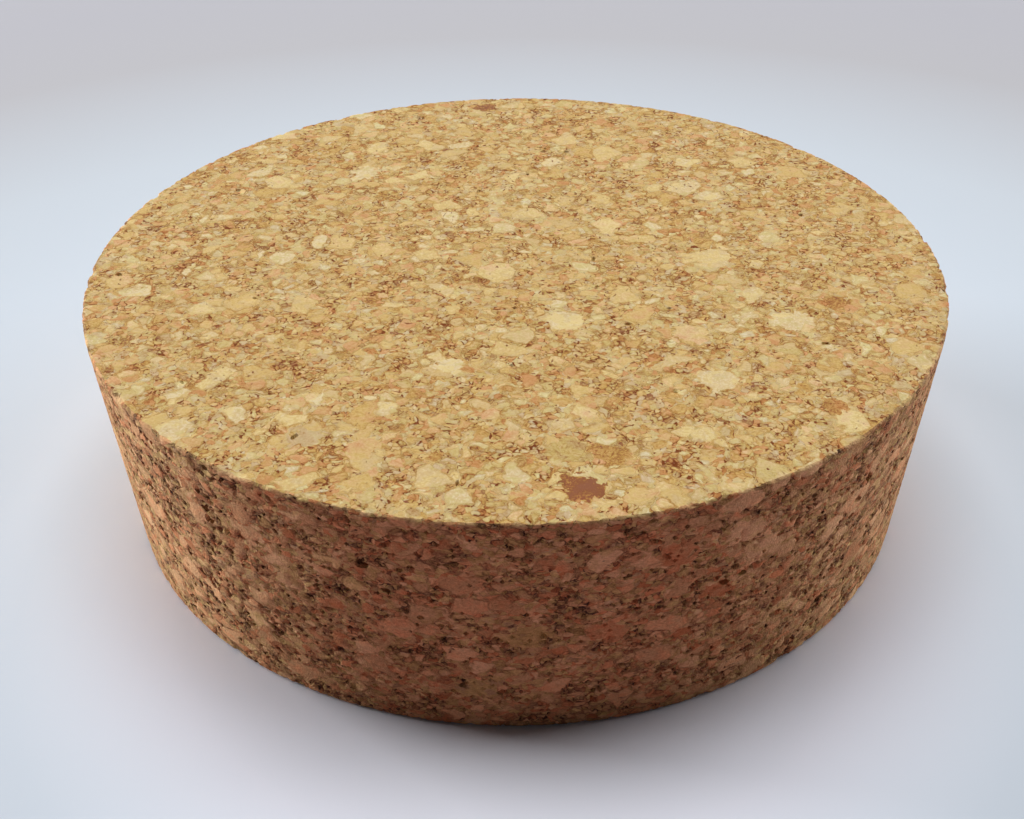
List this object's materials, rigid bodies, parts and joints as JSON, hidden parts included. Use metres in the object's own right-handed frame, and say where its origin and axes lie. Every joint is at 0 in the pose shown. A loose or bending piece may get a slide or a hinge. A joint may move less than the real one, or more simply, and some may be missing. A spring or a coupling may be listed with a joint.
{
  "type": "cork stopper",
  "caption": "Wide tapered jar stopper of pressed granulated cork, with two flat ends, crisp rims and a ground side with small open voids.",
  "frame": {"origin": "centre of the narrow end's flat face, where the stopper's axis meets the surface it stands on", "axes": "+Z along the stopper's axis, from the narrow end up to the wide end; +X and +Y are square to it and have no preferred direction, because the body is round"},
  "size_m": [0.105, 0.105, 0.03],
  "materials": {
    "granulated_cork": "sanded granulated cork, matt"
  },
  "bodies": {
    "root": {"stopper": "granulated_cork"}
  },
  "joints": []
}
